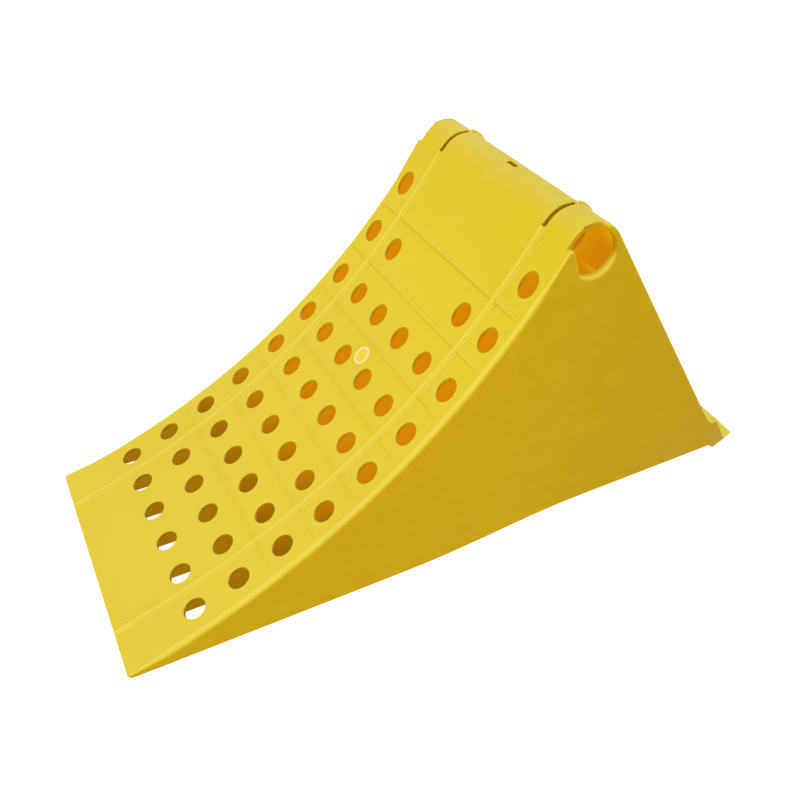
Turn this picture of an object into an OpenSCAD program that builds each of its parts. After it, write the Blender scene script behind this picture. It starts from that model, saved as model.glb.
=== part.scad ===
// Wheel chock for a road vehicle: one hollow moulding, open underneath, drawn
// as the members that it is made of. X runs from the toe (-) to the heel (+),
// Y across, Z up, with the origin on the ground under the middle of the chock.

/* [Overall] */
// Length from the toe edge to the heel tip
body_l = 492; // [420:1:540]
// Width across the side walls at the ground
body_w = 203.4; // [160:0.2:240]
// Inward lean of each side wall, in degrees
side_draft = 1.3; // [0:0.1:3]
// Lean of the mould's draw direction towards the toe, in degrees
draw_lean = 20; // [0:1:30]

/* [Wheel seat] */
// Radius of the wheel that the seat is made for
seat_r = 530; // [400:5:600]
// Slope of the seat where it meets the toe, in degrees
toe_slope = 14.6; // [8:0.1:25]
// Height of the toe edge
toe_h = 3; // [1:0.5:8]
// Length of the solid lip behind the toe edge
toe_lip_l = 12; // [6:1:25]
// Slope of the line from the wheel's axis to the handle roll, in degrees
seat_end_angle = 33.87; // [28:0.01:40]

/* [Walls] */
// Thickness of the deck panels, the roll and the rear wall
shell_t = 3.2; // [2:0.1:6]
// Thickness of the side walls
side_t = 4.4; // [3:0.1:8]
// Thickness of the three inner ribs that run lengthwise
rib_t = 3; // [2:0.1:5]
// Thickness of the two webs that show through the deck as ridges
web_t = 3.4; // [2:0.1:6]
// Thickness of the ribs that run across
cross_t = 2.6; // [2:0.1:5]
// Spacing of the lengthwise ribs and webs
rib_pitch = 32.5; // [25:0.5:40]

/* [Deck details] */
// Radius of the grip holes
hole_r = 7.6; // [5:0.1:10]
// Spacing of the columns of grip holes
hole_pitch = 32.8; // [25:0.1:40]
// Height of the two ridges above the deck
ridge_h = 1.1; // [0.5:0.1:3]
// Height of the fine lines across the deck
line_h = 0.6; // [0.2:0.05:1]
// Width of the fine lines across the deck
line_w = 1.7; // [1:0.1:3]
// Bare margin between the end of each fine line and the deck's edge
line_margin = 8; // [4:0.5:15]

/* [Handle] */
// Outer radius of the handle roll
roll_r = 19.3; // [15:0.1:30]
// Radius of the passage through the side walls, under the roll
passage_r = 15.2; // [12:0.1:25]
// Radius of the passage through the webs
web_passage_r = 13.6; // [10:0.1:25]
// Distance from the roll's axis to the flat side of the passage in the side walls
flat_offset = 14; // [10:0.1:20]
// Angle at which the open mouth of that passage ends on the seat side, in degrees
mouth_end = 175; // [160:1:180]
// Reach of the open mouth past the passage's flat side
mouth_reach = 3; // [0:0.5:8]
// Angle at which each slit beside the roll begins, on the rear side, in degrees
slit_rear = 75; // [60:1:90]
// Angle at which each slit beside the roll ends, on the seat side, in degrees
slit_front = 155; // [140:1:165]
// Height of the fins behind the roll
fin_h = 2; // [1:0.1:4]
// Angle at which the fins begin behind the roll, in degrees
fin_top = 66; // [50:1:75]
// Length of the slot in the top of the roll, across the chock
slot_l = 10; // [6:0.5:20]
// Width of the slot in the top of the roll
slot_w = 3.6; // [2:0.1:6]

/* [Heel] */
// Lean of the rear wall towards the toe, in degrees
rear_lean = 31.3; // [20:0.1:40]
// Height at which the rear wall turns out to the heel
bend_h = 53.5; // [40:0.1:90]
// Height of the blunt edge at the heel tip
tip_h = 1; // [0.5:0.1:4]
// Length of the heel foot's flat underside
foot_l = 25.5; // [12:0.1:40]
// Length of the heel foot along the slope of its back
foot_slope_l = 42; // [25:1:55]
// Distance of the heel foot's ends inside the side faces at the ground
foot_inset = 3.7; // [0:0.1:6]
// Inward turn of the heel foot's ends, in degrees
foot_taper = 14.1; // [0:0.1:20]
// Length of the last stretch of the heel foot's ends, which turns in further
foot_corner_l = 10; // [2:0.5:20]
// Inward turn of that last stretch, in degrees
foot_corner_taper = 17.5; // [0:0.5:45]
// Ground clearance between the middle of the chock and the heel foot
arch_h = 8.5; // [0:0.5:15]

/* [Quality] */
// Facets on each full circle
facets = 96; // [48:8:180]

/* [Hidden] */
$fn = facets;

yellow = [0.90, 0.78, 0.16];
deep_yellow = [0.78, 0.62, 0.10];
amber = [0.72, 0.50, 0.05];

toe_x = -body_l / 2;
tip_x = body_l / 2;
lip_x = toe_x + toe_lip_l;
far = 1000;

// Wheel axis, then the roll's axis on the line from it
seat_x = toe_x - seat_r * sin(toe_slope);
seat_z = toe_h + seat_r * cos(toe_slope);
seat_dir = [cos(seat_end_angle), -sin(seat_end_angle)];
roll_axis = [seat_x, seat_z] + (seat_r + roll_r) * seat_dir;
seat_end = [seat_x, seat_z] + seat_r * seat_dir;
roll_core = roll_axis + [0, roll_r / 3];

// Rear wall: a line that leaves the roll at its lean and turns out at the bend
rear_dir = [cos(rear_lean), sin(rear_lean)];
rear_top = roll_axis + roll_r * rear_dir;
bend = [rear_top[0] + (rear_top[1] - bend_h) * tan(rear_lean), bend_h];
tip = [tip_x, tip_h];
flare_lean = atan((tip[0] - bend[0]) / (bend[1] - tip[1]));
mid_lean = (rear_lean + flare_lean) / 2;
bend_in = bend - shell_t / cos((flare_lean - rear_lean) / 2) * [cos(mid_lean), sin(mid_lean)];
flare_dir = [sin(flare_lean), -cos(flare_lean)];
foot_front = [tip_x - foot_l, 0];
foot_root = [foot_front[0] - 9, arch_h];
foot_top = tip - foot_slope_l * flare_dir;
foot_top_in = foot_top - shell_t * [cos(flare_lean), sin(flare_lean)];

// The inner ribs keep this far from the roll's axis, just clear of its shell
inner_passage_r = roll_r - shell_t + 0.5;

// Arch under the chock: flat on the ground, then a smooth rise
arch_start = toe_x + 190;
arch_end = toe_x + 335;
arch_steps = 12;

// Rows of grip holes, measured from the toe, and the fine lines between them
hole_rows = [50, 81, 112, 142, 173, 201, 229.5, 258, 285];
line_rows = [99.5, 130.5, 160.2, 189.2, 217.7, 245.5, 272];
full_rows = 6;
inner_columns = [0.5, 1.5];
web_y = 2 * rib_pitch;
rib_places = [0, rib_pitch, -rib_pitch];
wall_top = 260;

function seat_height(x) = seat_z - sqrt(pow(seat_r, 2) - pow(x - seat_x, 2));
function half_width(z, inset) = body_w / 2 - inset - z * tan(side_draft);
function arch_rise(s) = arch_h * (1 - cos(180 * s)) / 2;
function cross_foot(i) = toe_x + line_rows[i];
function cross_mid(i) = seat_height(cross_foot(i)) / 2;

// Lays a side-view outline upright and gives it the space from y0 to y1
module across(y0, y1) {
    translate([0, y1, 0]) rotate([90, 0, 0]) linear_extrude(height = y1 - y0) children();
}

// Block between the two leaning side faces, each moved in by inset
module between_sides(inset) {
    translate([toe_x - far / 2, 0, 0])
        rotate([90, 0, 90])
            linear_extrude(height = body_l + far)
                polygon([
                    [-half_width(0, inset), 0], [half_width(0, inset), 0],
                    [half_width(wall_top, inset), wall_top],
                    [-half_width(wall_top, inset), wall_top]
                ]);
}

// Sector of a circle about the roll's axis, from angle a0 to a1
module roll_sector(r, a0, a1) {
    steps = 8;
    translate(roll_axis)
        polygon(concat([[0, 0]],
            [for (i = [0:steps]) let (a = a0 + (a1 - a0) * i / steps) r * [cos(a), sin(a)]]));
}

// Part of the roll's disc that lies between the seat and the rear wall
module roll_disc(fin = 0) {
    intersection() {
        translate(roll_axis) circle(r = roll_r + fin);
        roll_sector(2 * roll_r, rear_lean, 180 - seat_end_angle);
    }
}

// Space under the arch, cut from everything that stands on the ground
module arch_space() {
    polygon(concat(
        [[arch_start, -1]],
        [for (i = [0:arch_steps])
            [arch_start + (arch_end - arch_start) * i / arch_steps, arch_rise(i / arch_steps)]],
        [foot_root, foot_front, [foot_front[0], -1]]
    ));
}

// Outer side-view outline, with the seat raised by rise and the back by fin
module outline(rise = 0, fin = 0) {
    difference() {
        union() {
            difference() {
                polygon([
                    [toe_x, 0], [tip_x, 0], tip, bend + [fin / 3, 0],
                    rear_top + fin * rear_dir, roll_core, seat_end, [toe_x, seat_end[1]]
                ]);
                translate([seat_x, seat_z]) circle(r = seat_r - rise, $fn = 8 * facets);
            }
            roll_disc(fin);
        }
        arch_space();
    }
}

// Outline of the hollow inside the deck and the rear wall, less the passage
module hollow() {
    difference() {
        polygon([
            [lip_x, 0], [foot_root[0], 0], foot_root, foot_top_in, bend_in,
            rear_top - shell_t * rear_dir, roll_axis,
            seat_end, [lip_x, seat_end[1]]
        ]);
        translate([seat_x, seat_z]) circle(r = seat_r + shell_t, $fn = 8 * facets);
        translate(roll_axis) circle(r = inner_passage_r);
        arch_space();
    }
}

// Round passage of radius r under the roll
module passage(r) {
    translate(roll_axis) circle(r = r);
}

// The same passage with its flat side, as the side walls have it
module flat_passage() {
    intersection() {
        passage(passage_r);
        translate(roll_axis)
            rotate(draw_lean)
                translate([-flat_offset, -far / 2])
                    square([far, far]);
    }
}

// Curved plate that the deck panels are cut from
module deck_plate() {
    intersection() {
        translate([seat_x, seat_z])
            difference() {
                circle(r = seat_r + shell_t, $fn = 8 * facets);
                circle(r = seat_r, $fn = 8 * facets);
            }
        polygon([
            [lip_x, -50], seat_end + 60 * seat_dir, [seat_x, seat_z], [lip_x, seat_z]
        ]);
    }
}

// One fine line across the deck, seen from the side
module line_bar(x) {
    a = asin((x - seat_x) / seat_r);
    translate([seat_x, seat_z])
        rotate(a - 90)
            translate([seat_r - line_h, -line_w / 2])
                square([line_h + shell_t / 2, line_w]);
}

// All fine lines between y0 and y1
module deck_lines(y0, y1) {
    for (x = line_rows) across(y0, y1) line_bar(toe_x + x);
}

// One grip hole along the draw direction
module grip_hole(x, y) {
    translate([x, y, seat_height(x)])
        rotate([0, -draw_lean, 0])
            cylinder(h = 30, r = hole_r, center = true, $fn = 48);
}

// Space taken by cross rib i, seen from the side
module cross_strip(i) {
    translate([cross_foot(i), seat_height(cross_foot(i))])
        rotate(draw_lean)
            translate([-cross_t / 2, -far])
                square([cross_t, far + 6]);
}

// Space taken by the rib under the handle, seen from the side
module handle_strip() {
    translate(roll_axis)
        rotate(draw_lean)
            translate([-cross_t / 2, -far])
                square([cross_t, far - passage_r - 3]);
}

// Notches in the lower half of a lengthwise plate, one for each cross rib
module lower_notches() {
    for (i = [0:len(line_rows) - 1])
        intersection() {
            cross_strip(i);
            translate([toe_x, -1]) square([body_l, cross_mid(i) + 1]);
        }
    intersection() {
        handle_strip();
        translate([toe_x, -1]) square([body_l, roll_axis[1] / 2 + 1]);
    }
}

// Notches in the upper half of a cross rib, one for each lengthwise plate
module upper_notches(z) {
    for (y = rib_places)
        translate([toe_x, y - rib_t / 2, z]) cube([body_l, rib_t, wall_top]);
    for (side = [-1, 1])
        translate([toe_x, side * web_y - web_t / 2, z]) cube([body_l, web_t, wall_top]);
}

// Solid lip along the toe, with the start of both ridges
module toe_lip() {
    color(yellow)
        intersection() {
            between_sides(0);
            union() {
                across(-body_w / 2, body_w / 2)
                    intersection() {
                        outline();
                        translate([toe_x, 0]) square([toe_lip_l, 20]);
                    }
                for (side = [-1, 1])
                    across(side * web_y - web_t / 2, side * web_y + web_t / 2)
                        ridge(toe_x, lip_x);
            }
        }
}

// Raised ridge on the seat from x0 to x1, seen from the side
module ridge(x0, x1) {
    intersection() {
        translate([seat_x, seat_z])
            difference() {
                circle(r = seat_r + 1, $fn = 8 * facets);
                circle(r = seat_r - ridge_h, $fn = 8 * facets);
            }
        translate([x0, 0.5]) square([x1 - x0, seat_end[1] + 20]);
    }
}

// Deck panel between the two webs
module deck_centre() {
    edge = web_y - web_t / 2;
    color(yellow)
        difference() {
            union() {
                across(-edge, edge) deck_plate();
                deck_lines(-edge, edge);
            }
            for (row = [0:len(hole_rows) - 2], side = [-1, 1], column = inner_columns)
                if (row <= full_rows || column > 1)
                    grip_hole(toe_x + hole_rows[row], side * column * hole_pitch);
        }
}

// Deck panel between a web and a side wall
module deck_strip(side) {
    edge = web_y + web_t / 2;
    line_end = body_w / 2 - line_margin;
    color(yellow)
        difference() {
            intersection() {
                between_sides(side_t);
                union() {
                    across(min(side * edge, side * far), max(side * edge, side * far)) deck_plate();
                    deck_lines(min(side * edge, side * line_end), max(side * edge, side * line_end));
                }
            }
            for (row = hole_rows) grip_hole(toe_x + row, side * 2.5 * hole_pitch);
        }
}

module deck_left() { deck_strip(1); }
module deck_right() { deck_strip(-1); }

// Part of the side face that is cut away in front of and above the passage
module mouth_outline() {
    intersection() {
        roll_sector(2 * roll_r, slit_rear, mouth_end);
        translate(roll_axis)
            rotate(draw_lean)
                translate([-flat_offset - mouth_reach, -far / 2])
                    square([far, far]);
    }
}

// Curved shell of the roll between y0 and y1
module roll_shell(y0, y1) {
    across(y0, y1)
        difference() {
            roll_disc();
            translate(roll_axis) circle(r = roll_r - shell_t);
        }
}

// Middle of the roll, with the small slot in its top
module roll_centre() {
    edge = web_y - web_t / 2;
    color(yellow)
        difference() {
            roll_shell(-edge, edge);
            translate([roll_axis[0] - slot_w / 2, -slot_l / 2, roll_axis[1] + roll_r - 2 * shell_t])
                cube([slot_w, slot_l, 4 * shell_t]);
        }
}

// End of the roll beside a slit
module roll_end(side) {
    edge = web_y + web_t / 2;
    color(yellow)
        intersection() {
            roll_shell(min(side * edge, side * far), max(side * edge, side * far));
            between_sides(side_t);
        }
}

module roll_left() { roll_end(1); }
module roll_right() { roll_end(-1); }

// Rear wall seen from the side, from the roll down to the heel foot
module rear_plate() {
    polygon([
        rear_top, rear_top - shell_t * rear_dir, bend_in, foot_top_in, foot_top, bend
    ]);
}

module rear_wall_centre() {
    edge = web_y - web_t / 2;
    color(deep_yellow) across(-edge, edge) rear_plate();
}

module rear_wall_side(side) {
    edge = web_y + web_t / 2;
    color(deep_yellow)
        intersection() {
            across(min(side * edge, side * far), max(side * edge, side * far)) rear_plate();
            between_sides(side_t);
        }
}

module rear_wall_left() { rear_wall_side(1); }
module rear_wall_right() { rear_wall_side(-1); }

// Foot along the heel, with a flat underside and ends that taper to the tip
module heel_foot() {
    color(deep_yellow)
        intersection() {
            across(-body_w / 2, body_w / 2)
                polygon([foot_front, [tip_x, 0], tip, foot_top, foot_top_in, foot_root]);
            translate([0, 0, -1]) linear_extrude(height = bend_h) foot_plan();
        }
}

// Heel foot seen from above
module foot_plan() {
    front = body_w / 2 - foot_inset;
    middle = front - (foot_l - foot_corner_l) * tan(foot_taper);
    rear = middle - foot_corner_l * tan(foot_corner_taper);
    polygon([
        [foot_root[0] - 1, -front], [foot_front[0], -front],
        [tip_x - foot_corner_l, -middle], [tip_x, -rear],
        [tip_x, rear], [tip_x - foot_corner_l, middle],
        [foot_front[0], front], [foot_root[0] - 1, front]
    ]);
}

// Space that the heel foot takes from the plates in front of it
module foot_cut() {
    polygon([
        foot_root, foot_front, [foot_front[0], -5], [tip_x + 5, -5], tip + [5, 5],
        foot_top + 5 * rear_dir, foot_top, foot_top_in
    ]);
}

// Side wall from the ground up to the seat's surface, open at the passage
module side_wall(side) {
    color(deep_yellow)
        difference() {
            intersection() {
                between_sides(0);
                across(min(0, side * far), max(0, side * far))
                    difference() {
                        outline();
                        translate([toe_x - 1, -1]) square([toe_lip_l + 1, far]);
                        foot_cut();
                        flat_passage();
                        mouth_outline();
                    }
            }
            between_sides(side_t);
        }
}

module side_wall_left() { side_wall(1); }
module side_wall_right() { side_wall(-1); }

// Web that stands through the deck as a ridge and behind the roll as a fin
module web(side) {
    color(deep_yellow)
        across(side * web_y - web_t / 2, side * web_y + web_t / 2)
            difference() {
                outline(ridge_h, fin_h);
                translate([toe_x - 1, -1]) square([toe_lip_l + 1, far]);
                foot_cut();
                passage(web_passage_r);
                difference() {
                    roll_sector(2 * roll_r, slit_rear, slit_front);
                    translate(roll_axis) circle(r = roll_r - shell_t);
                }
                difference() {
                    roll_sector(2 * roll_r, fin_top, slit_rear + 1);
                    translate(roll_axis) circle(r = roll_r);
                }
                lower_notches();
            }
}

module web_left() { web(1); }
module web_right() { web(-1); }

// Inner rib that runs lengthwise under the deck at y
module long_rib(y) {
    color(amber)
        across(y - rib_t / 2, y + rib_t / 2)
            difference() {
                hollow();
                lower_notches();
            }
}

module keel_rib() { long_rib(0); }
module rib_left() { long_rib(rib_pitch); }
module rib_right() { long_rib(-rib_pitch); }

// Inner rib that runs across, along the draw direction
module cross_rib(i) {
    color(amber)
        difference() {
            intersection() {
                between_sides(side_t);
                across(-body_w / 2, body_w / 2)
                    intersection() {
                        cross_strip(i);
                        hollow();
                    }
            }
            upper_notches(cross_mid(i));
        }
}

module cross_rib_1() { cross_rib(0); }
module cross_rib_2() { cross_rib(1); }
module cross_rib_3() { cross_rib(2); }
module cross_rib_4() { cross_rib(3); }
module cross_rib_5() { cross_rib(4); }
module cross_rib_6() { cross_rib(5); }
module cross_rib_7() { cross_rib(6); }

module handle_rib() {
    color(amber)
        difference() {
            intersection() {
                between_sides(side_t);
                across(-body_w / 2, body_w / 2)
                    intersection() {
                        handle_strip();
                        hollow();
                    }
            }
            upper_notches(roll_axis[1] / 2);
        }
}

toe_lip();
deck_centre();
deck_left();
deck_right();
roll_centre();
roll_left();
roll_right();
rear_wall_centre();
rear_wall_left();
rear_wall_right();
heel_foot();
side_wall_left();
side_wall_right();
web_left();
web_right();
keel_rib();
rib_left();
rib_right();
cross_rib_1();
cross_rib_2();
cross_rib_3();
cross_rib_4();
cross_rib_5();
cross_rib_6();
cross_rib_7();
handle_rib();
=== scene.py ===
import math

import bmesh
import bpy
from mathutils import Matrix, Vector
from mathutils.geometry import delaunay_2d_cdt


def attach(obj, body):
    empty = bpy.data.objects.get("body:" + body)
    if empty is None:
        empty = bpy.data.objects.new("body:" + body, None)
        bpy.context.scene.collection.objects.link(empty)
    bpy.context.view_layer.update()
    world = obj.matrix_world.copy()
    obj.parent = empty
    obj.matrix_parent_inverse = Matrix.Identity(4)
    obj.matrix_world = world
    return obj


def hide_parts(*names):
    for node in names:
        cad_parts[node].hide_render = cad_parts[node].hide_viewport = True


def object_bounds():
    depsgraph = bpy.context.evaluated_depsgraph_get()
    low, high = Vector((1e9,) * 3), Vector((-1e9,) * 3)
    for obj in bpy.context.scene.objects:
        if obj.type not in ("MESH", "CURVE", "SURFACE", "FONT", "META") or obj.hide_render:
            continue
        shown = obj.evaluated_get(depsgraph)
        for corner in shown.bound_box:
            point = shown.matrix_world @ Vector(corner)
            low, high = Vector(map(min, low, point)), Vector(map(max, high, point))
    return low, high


# Looks of the wheel chock. Lengths are in millimetres until a mesh is made.
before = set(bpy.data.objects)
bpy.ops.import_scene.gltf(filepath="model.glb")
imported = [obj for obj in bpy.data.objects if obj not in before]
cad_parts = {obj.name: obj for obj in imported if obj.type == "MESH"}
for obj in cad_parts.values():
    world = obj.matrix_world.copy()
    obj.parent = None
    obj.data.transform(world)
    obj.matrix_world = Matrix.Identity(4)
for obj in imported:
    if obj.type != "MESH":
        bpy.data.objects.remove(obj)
cad_lo, cad_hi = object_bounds()
MM = 0.001

# ---------------------------------------------------------------- shape data
# Driving dimensions. Names in capitals ending in _ROWS are measured from the toe.
TOE_X = cad_lo[0] / MM
TIP_X = cad_hi[0] / MM
HALF_W = cad_hi[1] / MM
DRAFT = math.tan(math.radians(1.3))
DRAW = math.radians(20)
SEAT_R = 530.0
TOE_SLOPE = math.radians(14.6)
TOE_H = 3.0
SEAT_END = math.radians(33.87)
SHELL_T = 3.2
SIDE_T = 4.4
WEB_Y = 65.0
WEB_T = 3.4
ROLL_R = 19.3
PASSAGE_R = 15.2
WEB_PASSAGE_R = 13.6
FLAT = 13.2
MOUTH_AT = 305.0
SLIT_REAR, SLIT_FRONT = 75.0, 155.0
SLIT_FLOOR = ROLL_R - SHELL_T
HOLE_R = 7.6
HOLE_PITCH = 32.8
RIDGE_H = 1.1
LINE_H = 0.6
RIDGE_EASE = 1.2
RIDGE_ROUND = 0.4
FIN_H = 2.0
REAR_LEAN = 31.3
BEND_H = 53.5
TIP_H = 1.0
LIP_L = 12.0
ARCH_H = 8.5
ARCH_FROM, ARCH_TO = 190.0, 335.0
FOOT_L, FOOT_SLOPE_L = 25.5, 42.0
FOOT_ROOT_L = 9.0
HOLE_ROWS = [50, 81, 112, 142, 173, 201, 229.5, 258, 285]
LINE_ROWS = [99.5, 130.5, 160.2, 189.2, 217.7, 245.5, 272]
FULL_ROWS = 7
SIDES = ((1, "left"), (-1, "right"))
# Slot use: the rim slot is painted shade in slits, grooves and holes; the thin slot is painted light
# on thin edges; the hole slot is painted shade with a weak painted glow.
SHELL, INNER, RIM_SHADE, LIT_THIN, HOLE = range(5)  # material slots of the outer pieces

seat_c = (TOE_X - SEAT_R * math.sin(TOE_SLOPE), TOE_H + SEAT_R * math.cos(TOE_SLOPE))
roll_c = (
    seat_c[0] + (SEAT_R + ROLL_R) * math.cos(SEAT_END),
    seat_c[1] - (SEAT_R + ROLL_R) * math.sin(SEAT_END),
)
rear_n = (math.cos(math.radians(REAR_LEAN)), math.sin(math.radians(REAR_LEAN)))
rear_top = (roll_c[0] + ROLL_R * rear_n[0], roll_c[1] + ROLL_R * rear_n[1])
bend = (rear_top[0] + (rear_top[1] - BEND_H) * math.tan(math.radians(REAR_LEAN)), BEND_H)
tip = (TIP_X, TIP_H)
flare = math.atan2(tip[0] - bend[0], bend[1] - tip[1])
flare_n = (math.cos(flare), math.sin(flare))
foot_front = (TIP_X - FOOT_L, 0.0)
foot_root = (foot_front[0] - FOOT_ROOT_L, ARCH_H)
foot_top = (tip[0] - FOOT_SLOPE_L * math.sin(flare), tip[1] + FOOT_SLOPE_L * math.cos(flare))
foot_top_in = (foot_top[0] - SHELL_T * flare_n[0], foot_top[1] - SHELL_T * flare_n[1])
LIP_X = TOE_X + LIP_L
ARCH_START, ARCH_END = TOE_X + ARCH_FROM, TOE_X + ARCH_TO


def half_width(z):
    return HALF_W - z * DRAFT


def smooth(t):
    t = min(1.0, max(0.0, t))
    return t * t * (3 - 2 * t)


def seat_z(x, lift=0.0):
    return seat_c[1] - math.sqrt((SEAT_R - lift) ** 2 - (x - seat_c[0]) ** 2)


def roll_point(deg, r=ROLL_R):
    a = math.radians(deg)
    return (roll_c[0] + r * math.cos(a), roll_c[1] + r * math.sin(a))


def seat_at_roll_angle(deg, lift=0.0):
    """Point of the seat's arc that lies at this angle round the roll's axis."""
    way = (math.cos(math.radians(deg)), math.sin(math.radians(deg)))
    off = (roll_c[0] - seat_c[0], roll_c[1] - seat_c[1])
    along = off[0] * way[0] + off[1] * way[1]
    rest = off[0] ** 2 + off[1] ** 2 - (SEAT_R - lift) ** 2
    reach = -along - math.sqrt(along * along - rest)
    return (roll_c[0] + reach * way[0], roll_c[1] + reach * way[1])


def to_pq(x, z):
    """Coordinates across and along the mould's draw direction."""
    c, s = math.cos(DRAW), math.sin(DRAW)
    return (x * c + z * s, -x * s + z * c)


def from_pq(p, q):
    c, s = math.cos(DRAW), math.sin(DRAW)
    return (p * c - q * s, p * s + q * c)


SEAT_P, SEAT_Q = to_pq(*seat_c)


def seat_p(p, grow=0.0):
    """Seat surface at draw coordinate p, or the one grow behind it."""
    q = SEAT_Q - math.sqrt((SEAT_R + grow) ** 2 - (p - SEAT_P) ** 2)
    return from_pq(p, q)


def p_of_x(x):
    return to_pq(x, seat_z(x))[0]


# ------------------------------------------------------------- mesh building
def finish_mesh(name, bm, sharp=38):
    bmesh.ops.remove_doubles(bm, verts=bm.verts, dist=2e-6)
    bmesh.ops.dissolve_degenerate(bm, edges=bm.edges, dist=1e-6)
    bmesh.ops.recalc_face_normals(bm, faces=bm.faces)
    mesh = bpy.data.meshes.new(name)
    bm.to_mesh(mesh)
    bm.free()
    mesh.shade_smooth()
    mesh.set_sharp_from_angle(angle=math.radians(sharp))
    obj = bpy.data.objects.new(name, mesh)
    bpy.context.scene.collection.objects.link(obj)
    return obj


def metres(x, y, z):
    return Vector((x * MM, y * MM, z * MM))


def add_sheet(bm, quads, top, bottom):
    """Closed plate: quads of keys, a point above and one below for each key."""
    ups, downs, count = {}, {}, {}

    def vert(store, key, place):
        if key not in store:
            store[key] = bm.verts.new(metres(*place(key)))
        return store[key]

    for quad in quads:
        for i in range(len(quad)):
            a, b = quad[i], quad[(i + 1) % len(quad)]
            edge = (a, b) if a <= b else (b, a)
            count.setdefault(edge, []).append((a, b))
        bm.faces.new([vert(ups, k, top) for k in quad])
        under = bm.faces.new([vert(downs, k, bottom) for k in reversed(quad)])
        under.material_index = INNER
    for uses in count.values():
        if len(uses) == 1:
            a, b = uses[0]
            # Rim faces take the darker rim colour: painted shade in slits and holes.
            rim = bm.faces.new([ups[b], ups[a], downs[a], downs[b]])
            rim.material_index = RIM_SHADE


def sheet(name, quads, top, bottom):
    bm = bmesh.new()
    add_sheet(bm, quads, top, bottom)
    return finish_mesh(name, bm)


def signed_area(loop):
    pairs = zip(loop, loop[1:] + loop[:1])
    return sum(a[0] * b[1] - b[0] * a[1] for a, b in pairs) / 2


def inside(point, loop):
    hit = False
    for a, b in zip(loop, loop[1:] + loop[:1]):
        if (a[1] > point[1]) != (b[1] > point[1]):
            if point[0] < a[0] + (point[1] - a[1]) * (b[0] - a[0]) / (b[1] - a[1]):
                hit = not hit
    return hit


def fill(loops):
    """Triangles between an outer loop of (x, z) points and the holes in it."""
    pts, edges = [], []
    for loop in loops:
        first = len(pts)
        n = len(loop)
        edges += [(first + i, first + (i + 1) % n) for i in range(n)]
        pts += [Vector(p) for p in loop]
    out = delaunay_2d_cdt(pts, edges, [], 0, 1e-5)
    verts, faces, source = out[0], out[2], out[3]
    back = [ids[0] if ids else None for ids in source]
    tris = []
    for f in faces:
        ids = [back[i] for i in f]
        mid = sum((verts[i] for i in f), Vector((0, 0))) / 3
        if None in ids or not inside(mid, loops[0]):
            continue
        if not any(inside(mid, hole) for hole in loops[1:]):
            tris.append(ids)
    return tris


ROUND_STEPS = 6
SUPPORT = 0.35
SHARP_R = 0.05


def inward_ways(loop):
    """Direction into the material at each point of a loop, stretched at corners."""
    ways = []
    for a, b, c in zip(loop[-1:] + loop[:-1], loop, loop[1:] + loop[:1]):
        e0 = Vector((b[0] - a[0], b[1] - a[1])).normalized()
        e1 = Vector((c[0] - b[0], c[1] - b[1])).normalized()
        n0, n1 = Vector((-e0.y, e0.x)), Vector((-e1.y, e1.x))
        m = (n0 + n1).normalized()
        ways.append(m / max(0.55, m.dot(n0)))
    return ways


def side_rings(loop, ways, face, other, is_sunk):
    """Rings that round one edge of a plate, from its rim to its face. A fifth value
    at a point makes a flat facet of that width there instead of a round."""
    rings = []
    for k in range(ROUND_STEPS + 2):
        theta = min(k, ROUND_STEPS) * math.pi / 2 / ROUND_STEPS
        ring = []
        for (x, z, r, sink, *wide), m in zip(loop, ways):
            inset, depth = r * (1 - math.cos(theta)), r * (1 - math.sin(theta))
            if wide:
                share = min(k, ROUND_STEPS) / ROUND_STEPS
                inset, depth = wide[0] * share, r * (1 - share)
            if k > ROUND_STEPS and r > SHARP_R:
                inset += SUPPORT
            px, pz = x + m.x * inset, z + m.y * inset
            way = 1 if other(pz) > face(pz) else -1
            depth += sink if is_sunk else 0.0
            ring.append((px, face(pz) + way * depth, pz))
        rings.append(ring)
    return rings


def plate(name, loops, y_a, y_b, round_a=False, inner=(INNER, SHELL)):
    """Closed upright plate. loops hold (x, z, radius, sink) round its outline and
    its holes; y_a(z) and y_b(z) are its faces. Edges on face b are rounded, and on
    a too where round_a is set. sink moves face b in, and inner gives the material
    of each face."""
    bm = bmesh.new()
    firsts, lasts = [], []
    for index, loop in enumerate(loops):
        if (signed_area(loop) > 0) != (index == 0):
            loop = loop[::-1]
        ways = inward_ways(loop)
        if round_a:
            rings = side_rings(loop, ways, y_a, y_b, False)[::-1]
        else:
            rings = [[(p[0], y_a(p[1]), p[1]) for p in loop]]
        rings += side_rings(loop, ways, y_b, y_a, True)
        made = [[bm.verts.new(metres(*p)) for p in ring] for ring in rings]
        for r0, r1 in zip(made, made[1:]):
            for i in range(len(loop)):
                j = (i + 1) % len(loop)
                bm.faces.new([r0[i], r0[j], r1[j], r1[i]])
        firsts.append((rings[0], made[0]))
        lasts.append((rings[-1], made[-1]))
    for ends, slot in ((firsts, inner[0]), (lasts, inner[1])):
        verts = [v for ring, made in ends for v in made]
        for tri in fill([[(p[0], p[2]) for p in ring] for ring, made in ends]):
            bm.faces.new([verts[i] for i in tri]).material_index = slot
    obj = finish_mesh(name, bm)
    # Faces on the floor of the slit take the darker rim colour: painted shade in the groove.
    for poly in obj.data.polygons:
        x, y, z = poly.center / MM
        angle = math.degrees(math.atan2(z - roll_c[1], x - roll_c[0]))
        in_groove = SLIT_REAR < angle < SLIT_FRONT
        if in_groove and abs(math.dist((x, z), roll_c) - SLIT_FLOOR) < 0.5:
            poly.material_index = RIM_SHADE
    return obj


def arc(centre, r, a0, a1, steps):
    return [
        (
            centre[0] + r * math.cos(math.radians(a0 + (a1 - a0) * i / steps)),
            centre[1] + r * math.sin(math.radians(a0 + (a1 - a0) * i / steps)),
        )
        for i in range(steps + 1)
    ]


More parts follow.
